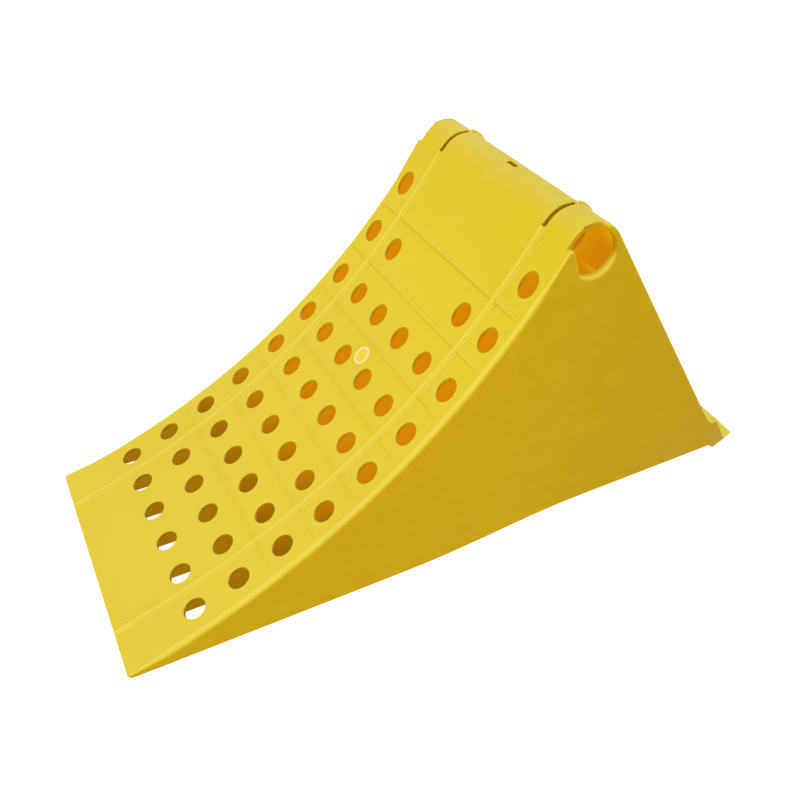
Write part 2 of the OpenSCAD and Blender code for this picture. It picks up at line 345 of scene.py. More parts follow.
def corner(a, b, c, r, steps=5):
    """Points that round the corner at b between a and c with radius r."""
    va = Vector((a[0] - b[0], a[1] - b[1])).normalized()
    vc = Vector((c[0] - b[0], c[1] - b[1])).normalized()
    half = va.angle(vc) / 2
    cut = r / math.tan(half)
    mid = Vector(b) + (va + vc).normalized() * (r / math.sin(half))
    p0, p1 = Vector(b) + va * cut - mid, Vector(b) + vc * cut - mid
    turn = math.atan2(p0.x * p1.y - p0.y * p1.x, p0.dot(p1))
    out = []
    for i in range(steps + 1):
        c, s = math.cos(turn * i / steps), math.sin(turn * i / steps)
        out.append((mid.x + p0.x * c - p0.y * s, mid.y + p0.x * s + p0.y * c))
    return out


def filled(values, gap):
    """Sorted values with extra ones put in where two are further apart than gap."""
    values = sorted(values)
    out = [values[0]]
    for v in values[1:]:
        n = max(1, math.ceil((v - out[-1]) / gap - 1e-6))
        start = out[-1]
        out += [start + (v - start) * (i + 1) / n for i in range(n)]
    return out


# ----------------------------------------------------------------- deck panels
CELL = 10.0
CELL_STEPS = [CELL * k / 4 for k in range(-4, 5)]
MESH_GAP = 4.5
RIM = 0.8
RIM_STEPS = 4
RIM_SUPPORT = 0.3
LINE_HALF, LINE_SHOULDER, LINE_FLAT = 1.25, 0.8, 0.35
LINE_EASE = 2.5
START_EASE = 8.0
P_START = p_of_x(LIP_X)
P_END = to_pq(*seat_at_roll_angle(SLIT_FRONT))[0]
row_p = [p_of_x(TOE_X + x) for x in HOLE_ROWS]
line_p = [p_of_x(TOE_X + x) for x in LINE_ROWS]
p_lines = [P_START, P_END]
for p in row_p:
    p_lines += [p + step for step in CELL_STEPS]
for p in line_p:
    for d in (LINE_HALF, LINE_SHOULDER, LINE_FLAT):
        p_lines += [p - d, p + d]
p_lines = filled(p_lines, MESH_GAP)
STRIP_END = 92.0
STRIP_SPAN = HALF_W - SIDE_T - STRIP_END


def strip_y(v, z):
    """Coordinate across the deck: fixed up to the last hole column, then
    stretched so that it ends at the side wall's inner face."""
    if abs(v) <= STRIP_END:
        return v
    share = (abs(v) - STRIP_END) / STRIP_SPAN
    return math.copysign(STRIP_END + share * (half_width(z) - SIDE_T - STRIP_END), v)


def line_rise(p, v):
    near = min(abs(p - q) for q in line_p)
    along = smooth((LINE_HALF - near) / (LINE_HALF - LINE_FLAT))
    return LINE_H * along * smooth((STRIP_END - abs(v)) / LINE_EASE)


def ridge_rise(v):
    """Height of the seat on and beside a web's ridge, which it meets softly."""
    off = abs(abs(v) - WEB_Y) - WEB_T / 2
    if off > 0:
        return (RIDGE_H - RIDGE_ROUND) * smooth(1 - off / RIDGE_EASE)
    return RIDGE_H - RIDGE_ROUND * max(0.0, 1 + off / RIDGE_ROUND) ** 2


def deck_top(key):
    p, v, drop = key
    x, z = seat_p(p)
    nx, nz = (seat_c[0] - x) / SEAT_R, (seat_c[1] - z) / SEAT_R
    rise = max(line_rise(p, v), ridge_rise(v)) - drop
    x, z = x + nx * rise, z + nz * rise
    return (x, strip_y(v, z), z)


def deck_bottom(key):
    p, v, drop = key
    x, z = seat_p(p)
    bx, bz = seat_p(p, SHELL_T)
    nx, nz = (seat_c[0] - x) / SEAT_R, (seat_c[1] - z) / SEAT_R
    end = smooth((p - row_p[-1] - CELL) / (P_END - row_p[-1] - CELL))
    start = smooth(1 - (p - P_START) / START_EASE)
    bx, bz = bx + (x - nx * SHELL_T - bx) * end, bz + (z - nz * SHELL_T - bz) * end
    bx, bz = bx + (x - bx) * start, bz + (z - SHELL_T - bz) * start
    return (bx, strip_y(v, bz), bz)


def key3(p, v, drop=0.0):
    return (round(p, 4), round(v, 4), round(drop, 4))


def hole_patch(pc, yc):
    """Quads of one grip hole: its rounded rim and the way out to its square."""
    side = [-CELL + k * CELL / 4 for k in range(8)]
    square = (
        [(CELL, t) for t in side]
        + [(-t, CELL) for t in side]
        + [(-CELL, -t) for t in side]
        + [(t, -CELL) for t in side]
    )
    rings = []
    for k in range(RIM_STEPS + 1):
        theta = k * math.pi / 2 / RIM_STEPS
        rings.append((HOLE_R + RIM * (1 - math.cos(theta)), RIM * (1 - math.sin(theta))))
    loops = []
    for r, drop in rings:
        loops.append(
            [
                key3(pc + r * a / math.hypot(a, b), yc + r * b / math.hypot(a, b), drop)
                for a, b in square
            ]
        )
    r_out = rings[-1][0] + RIM_SUPPORT
    loops.append(
        [
            key3(pc + r_out * a / math.hypot(a, b), yc + r_out * b / math.hypot(a, b))
            for a, b in square
        ]
    )
    loops.append([key3(pc + a, yc + b) for a, b in square])
    quads = []
    n = len(square)
    for inner, outer in zip(loops, loops[1:]):
        for i in range(n):
            j = (i + 1) % n
            quads.append((inner[i], outer[i], outer[j], inner[j]))
    return quads


def deck_quads(y_lines, holes):
    quads = []
    for p0, p1 in zip(p_lines, p_lines[1:]):
        for v0, v1 in zip(y_lines, y_lines[1:]):
            pm, vm = (p0 + p1) / 2, (v0 + v1) / 2
            if any(abs(pm - hp) < CELL and abs(vm - hv) < CELL for hp, hv in holes):
                continue
            quads.append((key3(p0, v0), key3(p1, v0), key3(p1, v1), key3(p0, v1)))
    for hp, hv in holes:
        quads += hole_patch(hp, hv)
    return quads


web_in, web_out = WEB_Y - WEB_T / 2, WEB_Y + WEB_T / 2
cols = [-1.5, -0.5, 0.5, 1.5]
ease = [RIDGE_EASE * k / 4 for k in range(1, 5)]
y_lines = [-web_in, web_in, 0.0] + [s * (web_in - d) for s in (-1, 1) for d in ease]
for c in cols:
    y_lines += [c * HOLE_PITCH + step for step in CELL_STEPS]
y_lines = filled(y_lines, MESH_GAP)
holes = [(p, c * HOLE_PITCH) for p in row_p[:FULL_ROWS] for c in cols]
holes += [(row_p[FULL_ROWS], c * HOLE_PITCH) for c in (-1.5, 1.5)]


def add_gate_ring(bm, r, half, rise):
    """Thin raised ring left by the mould's gate, laid on the seat."""
    steps, prof = 56, 8
    rows = []
    for i in range(steps):
        a = 2 * math.pi * i / steps
        ring = []
        for k in range(prof):
            b = 2 * math.pi * k / prof
            rr = r + half * math.cos(b)
            h = rise * math.sin(b)
            p = p_of_x(GATE_X) + rr * math.cos(a)
            x, z = seat_p(p)
            nx, nz = (seat_c[0] - x) / SEAT_R, (seat_c[1] - z) / SEAT_R
            ring.append(bm.verts.new(metres(x + nx * h, GATE_Y + rr * math.sin(a), z + nz * h)))
        rows.append(ring)
    for i in range(steps):
        for k in range(prof):
            j, m = (i + 1) % steps, (k + 1) % prof
            bm.faces.new([rows[i][k], rows[j][k], rows[j][m], rows[i][m]])


GATE_X, GATE_Y = TOE_X + 209, 0.5
GATE_R, GATE_HALF, GATE_RISE = 5.6, 0.8, 0.5
DISC_R, DISC_HALF, DISC_RISE = 2.3, 2.2, 0.15
bm = bmesh.new()
add_sheet(bm, deck_quads(y_lines, holes), deck_top, deck_bottom)
deck_centre = finish_mesh("deck_panel_centre", bm)
bm = bmesh.new()
add_gate_ring(bm, GATE_R, GATE_HALF, GATE_RISE)
first = len(bm.faces)
add_gate_ring(bm, DISC_R, DISC_HALF, DISC_RISE)
for face in list(bm.faces)[first:]:
    face.material_index = 1
gate_ring = finish_mesh("gate_ring", bm)

strips = {}
for side, word in SIDES:
    centre = 2.5 * HOLE_PITCH * side
    lines = [side * web_out, side * (STRIP_END + STRIP_SPAN)]
    lines += [centre + step for step in CELL_STEPS]
    lines += [side * (web_out + d) for d in ease]
    lines = filled(lines, 3.0)
    strips[word] = sheet(
        "deck_panel_" + word,
        deck_quads(lines, [(p, centre) for p in row_p]),
        deck_top,
        deck_bottom,
    )

# ------------------------------------------------------------------ handle roll
ROLL_ROUND, END_ROUND = 1.3, 0.9
SLIT_STEPS, END_STEPS = 5, 4
SLOT_Y = (-4.0, 6.0)
SLOT_DEG = (81.0, 92.0)
HUMP_H, HUMP_HALF = 1.3, 7.0
SPLIT = 0.02  # keeps the columns of a vanishing round apart
JOIN_DEG = 180 - math.degrees(SEAT_END)
roll_us = filled([SLIT_FRONT, 150, JOIN_DEG, *SLOT_DEG, SLIT_REAR, 66, REAR_LEAN], 3.0)[::-1]


def shell_base(u):
    """Point and outward direction of the outer shell at angle u round the roll."""
    if u > JOIN_DEG:
        x, z = seat_at_roll_angle(u)
        return x, z, (seat_c[0] - x) / SEAT_R, (seat_c[1] - z) / SEAT_R
    a = math.radians(u)
    return (*roll_point(u), math.cos(a), math.sin(a))


def slit_round(u):
    return ROLL_ROUND * smooth((SLIT_FRONT - 0.5 - u) / 9) * smooth((u - SLIT_REAR) / 9)


def end_round(u):
    return END_ROUND * smooth((u - 84) / 8)


def hump(y):
    """Share of the low hump that each web makes behind the roll."""
    return math.cos(math.pi / 2 * min(1.0, abs(abs(y) - WEB_Y) / HUMP_HALF)) ** 2


def slit_columns(edge, way):
    return [("slit", edge, way, k) for k in range(SLIT_STEPS + 1)]


def fixed_columns(ys):
    return [("at", y, 1, 0) for y in ys]


def end_columns(side):
    return [("end", side, -side, k) for k in range(END_STEPS, -1, -1)]


def column_place(column, u, z):
    """Place across the roll and drop below its surface of a column at angle u."""
    kind, value, way, k = column
    if kind == "at":
        return value, 0.0
    if kind == "slit":
        r, edge, steps = slit_round(u), value, SLIT_STEPS
    else:
        r, edge, steps = end_round(u), math.copysign(half_width(z) - SIDE_T, value), END_STEPS
    theta = k * math.pi / 2 / steps
    return edge + way * max(r * (1 - math.cos(theta)), SPLIT * k), r * (1 - math.sin(theta))


def make_roll(name, columns, skip=None):
    def top(key):
        i, j = key
        u = roll_us[i]
        x, z, nx, nz = shell_base(u)
        y, drop = column_place(columns[j], u, z)
        rise = HUMP_H * hump(y) * smooth((74 - u) / 12) - drop
        return (x + nx * rise, y, z + nz * rise)

    def bottom(key):
        i, j = key
        x, z, nx, nz = shell_base(roll_us[i])
        y = column_place(columns[j], roll_us[i], z)[0]
        return (x - nx * SHELL_T, y, z - nz * SHELL_T)

    quads = []
    for i in range(len(roll_us) - 1):
        for j in range(len(columns) - 1):
            if skip and skip(roll_us[i], roll_us[i + 1], columns[j], columns[j + 1]):
                continue
            quads.append(((i, j), (i + 1, j), (i + 1, j + 1), (i, j + 1)))
    return sheet(name, quads, top, bottom)


def in_slot(u0, u1, c0, c1):
    """True for a cell of the roll's middle that lies in the small slot."""
    slack = 0.01
    fixed = c0[0] == "at" and c1[0] == "at"
    in_y = c0[1] >= SLOT_Y[0] - slack and c1[1] <= SLOT_Y[1] + slack
    in_u = min(u0, u1) >= SLOT_DEG[0] - slack and max(u0, u1) <= SLOT_DEG[1] + slack
    return fixed and in_y and in_u


middle = [-59, -57.5, -54, -45, -35, -25, -15, -8, -4, 1, 6, 10, 18, 27, 36, 45, 54, 57.5, 59]
middle_columns = slit_columns(-web_in, 1) + fixed_columns(middle) + slit_columns(web_in, -1)[::-1]
roll_centre = make_roll("roll_middle", middle_columns, in_slot)
rolls = {}
for side, word in SIDES:
    columns = slit_columns(side * web_out, side)
    columns += fixed_columns([side * y for y in (70.5, 73, 77, 82, 87, 90)])
    rolls[word] = make_roll("roll_end_" + word, columns + end_columns(side))

# -------------------------------------------------------------------- rear wall
BEND_R = 22.0
REAR_STEPS, BEND_STEPS, FLARE_STEPS = 24, 6, 14
rear_t = (math.sin(math.radians(REAR_LEAN)), -math.cos(math.radians(REAR_LEAN)))
flare_t = (math.sin(flare), -math.cos(flare))
ease_l = BEND_R * math.tan((flare - math.radians(REAR_LEAN)) / 2)
rear_len = math.hypot(bend[0] - rear_top[0], bend[1] - rear_top[1])
rear_line = []  # (x, z, normal x, normal z, length so far) down the rear wall
for i in range(REAR_STEPS + 1):
    s = (rear_len - ease_l) * i / REAR_STEPS
    rear_line.append((rear_top[0] + rear_t[0] * s, rear_top[1] + rear_t[1] * s, *rear_n, s))
mid = (rear_line[-1][0] + rear_n[0] * BEND_R, rear_line[-1][1] + rear_n[1] * BEND_R)
for i in range(1, BEND_STEPS + 1):
    a = math.radians(REAR_LEAN) + (flare - math.radians(REAR_LEAN)) * i / BEND_STEPS
    c, s = math.cos(a), math.sin(a)
    rear_line.append((mid[0] - BEND_R * c, mid[1] - BEND_R * s, c, s, rear_len))
flare_len = math.hypot(tip[0] - bend[0], tip[1] - bend[1]) - FOOT_SLOPE_L
for i in range(1, FLARE_STEPS + 1):
    s = ease_l + (flare_len - ease_l) * i / FLARE_STEPS
    rear_line.append((bend[0] + flare_t[0] * s, bend[1] + flare_t[1] * s, *flare_n, rear_len + s))


def make_rear(name, ys):
    def place(key, rise):
        i, j = key
        x, z, nx, nz, s = rear_line[i]
        y = ys[j]
        if rise is None:
            rise = HUMP_H * hump(y) * (1 - 0.75 * s / rear_len) if s <= rear_len else 0.0
            rise = max(rise, 0.0)
        z1 = z + nz * rise
        if abs(y) > STRIP_END:
            y = math.copysign(half_width(z1) - SIDE_T, y)
        return (x + nx * rise, y, z1)

    quads = [
        ((i, j), (i + 1, j), (i + 1, j + 1), (i, j + 1))
        for i in range(len(rear_line) - 1)
        for j in range(len(ys) - 1)
    ]
    return sheet(name, quads, lambda k: place(k, None), lambda k: place(k, -SHELL_T))


near_web = [58, 59.5, 61, 62.2, web_in]
rear_centre = make_rear(
    "rear_panel_centre", [-y for y in near_web[::-1]] + [-40, -20, 0, 20, 40] + near_web
)
rears = {}
for side, word in SIDES:
    ys = [side * y for y in (web_out, 67.8, 69, 70.5, 72, 80, 90, 99)]
    rears[word] = make_rear("rear_panel_" + word, ys)

# ------------------------------------------------------- outlines from the side
ARCH_STEPS = 12
arch_pts = []
for i in range(ARCH_STEPS + 1):
    t = i / ARCH_STEPS
    x = ARCH_START + (ARCH_END - ARCH_START) * t
    arch_pts.append((x, ARCH_H * (1 - math.cos(math.pi * t)) / 2))

TOE_CORNER = 3.0
TOE_R = 0.9


def ease_radius(x, r):
    """Edge radius along the seat: small at the toe, full a little behind it."""
    return r * (0.35 + 0.65 * smooth((x - TOE_X - 4) / 26))


def toe_sink(x):
    """How far the side face moves in at the toe, to round the corner from above."""
    u = min(1.0, max(0.0, 1 - (x - TOE_X) / TOE_CORNER))
    return TOE_CORNER * (1 - math.sqrt(1 - u * u))


toe_round = corner((TOE_X, 0), (TOE_X, TOE_H), (TOE_X + 20, seat_z(TOE_X + 20)), TOE_R, 4)


def seat_run(x0, x1, lift=0.0, gap=4.0):
    n = max(2, int((x1 - x0) / gap))
    xs = [x0 + (x1 - x0) * i / n for i in range(n + 1)]
    return [(x, seat_z(x, lift)) for x in xs]


def local(dx, dz):
    """Point given in the draw frame round the roll's axis."""
    x, z = from_pq(dx, dz)
    return (roll_c[0] + x, roll_c[1] + z)


SEAT_EDGE, MOUTH_EDGE, BACK_EDGE = 4.4, 1.6, 1.8
RING_END = 118.0
RING_STEPS, OVER_STEPS, FIN_STEPS = 40, 24, 15
GROUND_STEPS = 9
RING_SINK = 4.0
FACET_EDGE, FACET_DEPTH, FACET_W = 1.2, 2.4, 6.3


def ring_sink(deg):
    """How far the side face moves in round the roll, where only a thin ring is left."""
    return RING_SINK * smooth((deg - 58) / 26)


def side_loop():
    """Side wall: up the seat, round the open passage, down the back, along the ground."""
    mouth_x = TOE_X + MOUTH_AT
    mouth = (mouth_x, seat_z(mouth_x))
    flat_half = math.sqrt(PASSAGE_R**2 - FLAT**2)
    loop = [(TOE_X, 0.0, 0.3, toe_sink(TOE_X))]
    loop += [(x, z, 0.5, toe_sink(x)) for x, z in toe_round]
    loop += [(x, z, 0.8, toe_sink(x)) for x, z in seat_run(TOE_X + 1.4, TOE_X + 3.8, gap=0.8)]
    run = seat_run(TOE_X + 5, mouth_x - 6)
    for x, z in run:
        near_mouth = smooth((x - mouth_x + 24) / 16)
        loop.append((x, z, ease_radius(x, SEAT_EDGE) * (1 - 0.58 * near_mouth), 0))
    shoulder = local(-FLAT, flat_half)
    low = local(-FLAT, -flat_half)
    before = (mouth_x - 12, seat_z(mouth_x - 12))
    loop += [(x, z, MOUTH_EDGE, 0) for x, z in corner(before, mouth, shoulder, 2.6, 6)]
    loop += [(x, z, MOUTH_EDGE, 0) for x, z in corner(mouth, shoulder, low, 5.0, 3)]
    start = math.degrees(math.atan2(low[1] - roll_c[1], low[0] - roll_c[0]))
    after = roll_point(start + 26, PASSAGE_R)
    turn = corner(shoulder, (low[0] + 0.2, low[1] - 1.6), after, 4.2, 6)
    loop += [(x, z, 2.4, 0) for x, z in turn]
    for i in range(RING_STEPS + 1):
        deg = start + 30 + (RING_END - start - 30) * i / RING_STEPS
        rim = 3.3 - 2.1 * smooth((deg + 40) / 80)
        sink = ring_sink(deg)
        r_here = PASSAGE_R + (ROLL_R - 0.5 - PASSAGE_R) * smooth((deg - 45) / (RING_END - 45))
        loop.append((*roll_point(deg, r_here), min(rim, 0.8 * (SIDE_T - sink)), sink))
    for i in range(OVER_STEPS + 1):
        deg = RING_END - (RING_END - REAR_LEAN) * i / OVER_STEPS
        sink = ring_sink(deg)
        loop.append((*roll_point(deg), min(BACK_EDGE, 0.5 * (SIDE_T - sink)), sink))
    for x, z, nx, nz, s in rear_line[1:]:
        share = (s - rear_len) / flare_len
        if share <= 0:
            loop.append((x, z, BACK_EDGE, 0))
            continue
        share *= smooth((1.0 - share) / 0.3)
        depth, width = FACET_EDGE + FACET_DEPTH * share, FACET_EDGE + FACET_W * share
        loop.append((x, z, depth, 0, width))
    loop.append((*foot_top_in, 0.4, 0))
    loop.append((*foot_root, 0.5, 0))
    loop += [(x, z, 0.7, 0) for x, z in arch_pts[::-1]]
    for i in range(1, GROUND_STEPS + 1):
        x = ARCH_START + (TOE_X + 1.5 - ARCH_START) * i / GROUND_STEPS
        loop.append((x, 0.0, 0.3 if x < TOE_X + 8 else 0.6, toe_sink(x)))
    return loop


def web_loop():
    """Web: along the ridge, under the slit, down the fin, along the ground."""
    loop = [(LIP_X, 0.0, 0.2, 0)]
    end = seat_at_roll_angle(SLIT_FRONT, RIDGE_H)
    for x, z in seat_run(LIP_X, end[0] - 2.0, RIDGE_H):
        loop.append((x, z, RIDGE_ROUND, 0))
    loop.append((*end, 0.3, 0))
    for i in range(OVER_STEPS + 1):
        deg = SLIT_FRONT + (SLIT_REAR - SLIT_FRONT) * i / OVER_STEPS
        loop.append((*roll_point(deg, SLIT_FLOOR), 0.2, 0))
    for i in range(FIN_STEPS + 1):
        deg = SLIT_REAR - (SLIT_REAR - REAR_LEAN) * i / FIN_STEPS
        rise = FIN_H * smooth((SLIT_REAR - deg) / 11)
        loop.append((*roll_point(deg, ROLL_R + rise), 0.2 + 1.0 * rise / FIN_H, 0))
    for x, z, nx, nz, s in rear_line[1:]:
        rise = FIN_H * (1 - 0.7 * s / rear_len) if s < rear_len else FIN_H * 0.3
        loop.append((x + nx * rise, z + nz * rise, 1.0 if rise > 0.9 else 0.4, 0))
    loop.append((*foot_top_in, 0, 0))
    loop.append((*foot_root, 0.2, 0))
    loop += [(x, z, 0.3, 0) for x, z in arch_pts[::-1]]
    for i in range(1, GROUND_STEPS + 1):
        x = ARCH_START + (LIP_X - ARCH_START) * i / (GROUND_STEPS + 1)
        loop.append((x, 0.0, 0.3, 0))
    return loop


web_hole = [(x, z, 0.4, 0) for x, z in arc(roll_c, WEB_PASSAGE_R, 0, 352.5, 47)]
walls, webs = {}, {}
for side, word in SIDES:
    walls[word] = plate(
        "side_" + word,
        [side_loop()],
        lambda z, s=side: s * (half_width(z) - SIDE_T),
        lambda z, s=side: s * half_width(z),
    )
    webs[word] = plate(
        "ridged_web_" + word,
        [web_loop(), web_hole],
        lambda z, s=side: s * web_in,
        lambda z, s=side: s * web_out,
        round_a=True,
        inner=(INNER, INNER),
    )

# Painted light on thin edges, standing for light that comes through them: the facets behind the walls
# and the ridges take the lighter thin colour, and the hole rims the hole colour with a weak painted
# glow
for wall in walls.values():
    for poly in wall.data.polygons:
        at_flare = poly.center.x / MM > bend[0] + 2 and poly.center.z / MM > foot_top_in[1] + 1
        if at_flare and abs(poly.normal.y) > 0.5 and poly.normal.z > 0.12:
            poly.material_index = LIT_THIN
# Hole walls of the deck take the hole colour: darker brown as painted shade, with a weak painted glow.
for panel in (deck_centre, strips["left"], strips["right"]):
    for poly in panel.data.polygons:
        if poly.material_index == RIM_SHADE:
            poly.material_index = HOLE
for web in webs.values():
    for poly in web.data.polygons:
        if poly.material_index == SHELL and poly.normal.z > 0.4:
            poly.material_index = LIT_THIN

toe_rows = toe_round + seat_run(TOE_X + 5, LIP_X, gap=2.0)
toe_vs = [0.0, STRIP_END, STRIP_END + STRIP_SPAN, WEB_Y]
for d in [-RIDGE_ROUND, -RIDGE_ROUND / 2, 0.0] + ease:
    toe_vs += [WEB_Y - WEB_T / 2 - d, WEB_Y + WEB_T / 2 + d]
toe_vs = sorted({round(s * v, 4) for v in toe_vs for s in (-1, 1)})


def toe_top(key):
    x, z = toe_rows[key[0]]
    z += ridge_rise(key[1]) * smooth((x - TOE_X) / 2.5)
    return (x, strip_y(key[1], z), z)


def toe_bottom(key):
    return (toe_rows[key[0]][0], strip_y(key[1], 0.0), 0.0)


toe = sheet(
    "toe_edge",
    [
        ((i, v0), (i + 1, v0), (i + 1, v1), (i, v1))
        for i in range(len(toe_rows) - 1)
        for v0, v1 in zip(toe_vs, toe_vs[1:])
    ],
    toe_top,
    toe_bottom,
)
# Ridge tops on the toe take the lighter thin colour: painted light.
for poly in toe.data.polygons:
    on_ridge = abs(abs(poly.center.y / MM) - WEB_Y) < WEB_T / 2
    poly.material_index = LIT_THIN if on_ridge and poly.normal.z > 0.4 else SHELL

# -------------------------------------------------------------------- heel foot
FOOT_INSET = 3.7
END_TAPER, CORNER_TAPER = math.radians(14.1), math.radians(17.5)
END_L = 15.5
END_LEAN = 0.041
CORNER_X = foot_front[0] + END_L
TIP_R = 3.2
TIP_CUTS = (28, 41, 54, 67, 80)
HEEL_LIT_THIN = 1
FREE_EDGE = 1.4


def cut(bm, place, way):
    """Cut a closed mesh with a plane, drop what lies outside and close it."""
    geom = bm.verts[:] + bm.edges[:] + bm.faces[:]
    done = bmesh.ops.bisect_plane(
        bm, geom=geom, dist=1e-7, plane_co=metres(*place), plane_no=way, clear_outer=True
    )
    edges = [e for e in done["geom_cut"] if isinstance(e, bmesh.types.BMEdge)]
    return bmesh.ops.holes_fill(bm, edges=edges)["faces"]


bm = bmesh.new()
heel_outline = [foot_front, (TIP_X, 0.0), tip, foot_top, foot_top_in, foot_root]
near = [bm.verts.new(metres(x, -HALF_W, z)) for x, z in heel_outline]
far = [bm.verts.new(metres(x, HALF_W, z)) for x, z in heel_outline]
bm.faces.new(near)
bm.faces.new(far[::-1])
for i in range(len(near)):
    j = (i + 1) % len(near)
    bm.faces.new([near[i], far[i], far[j], near[j]])
# Faces cut at the foot's end and tip take the lighter thin colour: painted light.
for side in (-1, 1):
    front = HALF_W - FOOT_INSET
    end = front - END_L * math.tan(END_TAPER)
    cut(bm, (foot_front[0], side * front, 0), (math.sin(END_TAPER), side * math.cos(END_TAPER), 0))
    corner_way = (math.sin(CORNER_TAPER), side * math.cos(CORNER_TAPER), END_LEAN)
    for face in cut(bm, (CORNER_X, side * end, 0), corner_way):
        face.material_index = HEEL_LIT_THIN
    mid_x = TIP_X - TIP_R
    mid_y = end + (math.sin(CORNER_TAPER) * (CORNER_X - mid_x) - TIP_R) / math.cos(CORNER_TAPER)
    for degrees in TIP_CUTS:
        turn = math.radians(degrees)
        place = (mid_x + TIP_R * math.sin(turn), side * (mid_y + TIP_R * math.cos(turn)), 0)
        for face in cut(bm, place, (math.sin(turn), side * math.cos(turn), 0)):
            face.material_index = HEEL_LIT_THIN


def is_free(edge):
    """True for a sharp edge that doesn't border the walls in front of the foot."""
    along = [
        (v.co.x / MM - foot_top[0]) * flare_t[0] + (v.co.z / MM - foot_top[1]) * flare_t[1]
        for v in edge.verts
    ]
    return edge.calc_face_angle() > math.radians(25) and min(along) > 0.2


bm.normal_update()
bmesh.ops.bevel(
    bm,
    geom=[e for e in bm.edges if is_free(e)],
    offset=FREE_EDGE * MM,
    segments=4,
    profile=0.5,
    affect="EDGES",
    clamp_overlap=True,
)
heel = finish_mesh("heel_wedge", bm, 30)

# -------------------------------------------------------------------- materials
def srgb(r, g, b):
    def f(c):
        c /= 255
        return c / 12.92 if c <= 0.04045 else ((c + 0.055) / 1.055) ** 2.4

    return (f(r), f(g), f(b), 1.0)


class Nodes:
    def __init__(self, name):
        self.mat = bpy.data.materials.new(name)
        self.mat.use_nodes = True
        self.tree = self.mat.node_tree
        self.tree.nodes.clear()

    def add(self, kind, **settings):
        node = self.tree.nodes.new(kind)
        for key, value in settings.items():
            setattr(node, key, value)
        return node

    def link(self, a, b):
        self.tree.links.new(a, b)

    def noise(self, coords, scale, detail=3.0, rough=0.5, stretch=None):
        if stretch:
            mapping = self.add("ShaderNodeMapping")
            mapping.inputs["Scale"].default_value = stretch
            self.link(coords, mapping.inputs["Vector"])
            coords = mapping.outputs["Vector"]
        node = self.add("ShaderNodeTexNoise")
        node.inputs["Scale"].default_value = scale
        node.inputs["Detail"].default_value = detail
        node.inputs["Roughness"].default_value = rough
        self.link(coords, node.inputs["Vector"])
        return node.outputs["Fac"]

    def remap(self, value, from_lo, from_hi, to_lo, to_hi):
        node = self.add("ShaderNodeMapRange")
        node.inputs["From Min"].default_value = from_lo
        node.inputs["From Max"].default_value = from_hi
        node.inputs["To Min"].default_value = to_lo
        node.inputs["To Max"].default_value = to_hi
        self.link(value, node.inputs["Value"])
        return node.outputs["Result"]

    def times(self, a, b):
        node = self.add("ShaderNodeMath", operation="MULTIPLY")
        self.link(a, node.inputs[0])
        self.link(b, node.inputs[1])
        return node.outputs["Value"]

    def bump(self, height, strength, distance, normal=None):
        node = self.add("ShaderNodeBump")
        node.inputs["Strength"].default_value = strength
        node.inputs["Distance"].default_value = distance
        self.link(height, node.inputs["Height"])
        if normal:
            self.link(normal, node.inputs["Normal"])
        return node.outputs["Normal"]

    def mix(self, share, a, b):
        node = self.add("ShaderNodeMix", data_type="RGBA")
        self.link(share, node.inputs["Factor"])
        for socket, value in ((node.inputs["A"], a), (node.inputs["B"], b)):
            if isinstance(value, tuple):
                socket.default_value = value
            else:
                self.link(value, socket)
        return node.outputs["Result"]


# Painted light and shade: the plastic's own yellow, painted lighter for faces that look up and darker
# for faces that look sideways.
TOP = srgb(232, 209, 56)
SLOPE = srgb(227, 199, 17)
SIDE = srgb(191, 154, 4)
AMBER = srgb(222, 186, 8)
# Darker brown for rims and holes: painted shade.
SHADE_BROWN = srgb(196, 144, 6)
# Lighter colours for thin edges, facets and ridge tops: painted light.
LIT_THIN_TOP, LIT_THIN_SLOPE, LIT_THIN_SIDE = srgb(237, 216, 68), srgb(236, 213, 46), srgb(236, 214, 60)
MARK_TOP, MARK_SLOPE, MARK_SIDE = srgb(250, 238, 180), srgb(250, 236, 170), srgb(240, 220, 130)
SCUFF_TINT = srgb(240, 226, 150)
# Painted highlight on rounded edges: a pale tint and its strongest share.
EDGE_HIGHLIGHT_TINT, EDGE_HIGHLIGHT = srgb(246, 230, 120), 0.4
# Painted shade towards the heel: a darker brown and its strongest share.
HEEL_SHADE_TINT, HEEL_SHADE = srgb(150, 112, 12), 0.34
# Painted shade near the ground on the inside plastic.
LOW_SHADE_TINT = srgb(130, 80, 3)
# Colour of the painted glow, light through the thin walls.
PAINTED_GLOW = (0.465, 0.243, 0.001, 1.0)


